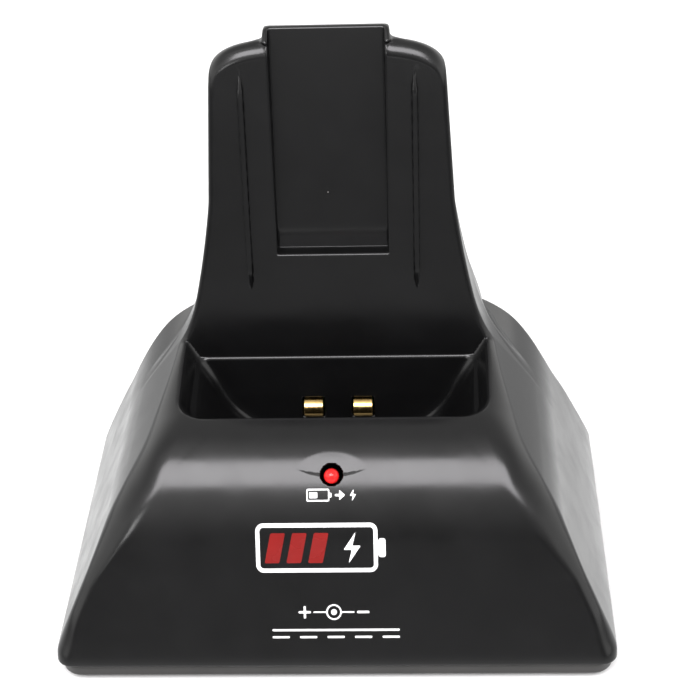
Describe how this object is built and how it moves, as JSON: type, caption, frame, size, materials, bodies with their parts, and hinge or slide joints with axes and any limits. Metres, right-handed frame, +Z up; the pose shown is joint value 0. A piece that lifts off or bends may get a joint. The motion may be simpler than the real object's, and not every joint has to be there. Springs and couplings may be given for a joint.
{
  "type": "charging cradle for a handheld radio",
  "caption": "Desktop charging cradle: sloped base with a radio pocket, two spring contacts, a red lamp and a leaning back tower with a belt-clip slot.",
  "frame": {"origin": "middle of the footprint, on the surface that the rubber feet stand on", "axes": "+Z up, +Y towards the tower and the power inlet, -Y towards the lamp, +X to the right seen from the lamp side"},
  "size_m": [0.105, 0.0722, 0.1072],
  "materials": {
    "case_plastic": "moulded black ABS, fine satin texture",
    "cover_plastic": "moulded black ABS, satin",
    "rubber": "matt black rubber",
    "screw_steel": "zinc-plated steel",
    "gold_contact": "gold-plated spring bronze",
    "led_red": "clear-dyed red epoxy",
    "tinned_metal": "tinned copper",
    "circuit_board": "green solder mask",
    "black_component": "moulded epoxy and nylon",
    "capacitor_sleeve": "dark blue shrink sleeve",
    "resistor_body": "tan lacquer",
    "nylon": "natural nylon",
    "wire_red": "red PVC",
    "wire_black": "black PVC"
  },
  "bodies": {
    "cradle": {"board_screw_1": "screw_steel", "board_screw_2": "screw_steel", "board_screw_3": "screw_steel", "bottom_cover": "cover_plastic", "case_screw_front_left": "screw_steel", "case_screw_front_right": "screw_steel", "case_screw_rear_left": "screw_steel", "case_screw_rear_right": "screw_steel", "charge_controller": "black_component", "contact_board": "circuit_board", "contact_board_screw_left": "screw_steel", "contact_board_screw_right": "screw_steel", "contact_header": "nylon", "contact_holder": "black_component", "contact_terminal_left": "tinned_metal", "contact_terminal_right": "tinned_metal", "contact_wire_negative": "wire_black", "contact_wire_positive": "wire_red", "dc_jack": "black_component", "dc_jack_pin": "tinned_metal", "filter_capacitor": "capacitor_sleeve", "indicator_led": "led_red", "led_header": "nylon", "led_lead_negative": "tinned_metal", "led_lead_positive": "tinned_metal", "led_resistor": "resistor_body", "led_wire_negative": "wire_black", "led_wire_positive": "wire_red", "main_board": "circuit_board", "rectifier_diode": "black_component", "regulator": "black_component", "rubber_foot_front_left": "rubber", "rubber_foot_front_right": "rubber", "rubber_foot_rear_left": "rubber", "rubber_foot_rear_right": "rubber", "sense_resistor": "resistor_body", "upper_housing": "case_plastic"},
    "left_contact": {"contact_left": "gold_contact"},
    "right_contact": {"contact_right": "gold_contact"}
  },
  "joints": [
    {"name": "contact_left_press", "type": "slide", "parent": "cradle", "child": "left_contact", "axis": [0, 1, 0], "range_m": [0, 0.0015], "stiffness_N_per_m": 800},
    {"name": "contact_right_press", "type": "slide", "parent": "cradle", "child": "right_contact", "axis": [0, 1, 0], "range_m": [0, 0.0015], "stiffness_N_per_m": 800}
  ]
}
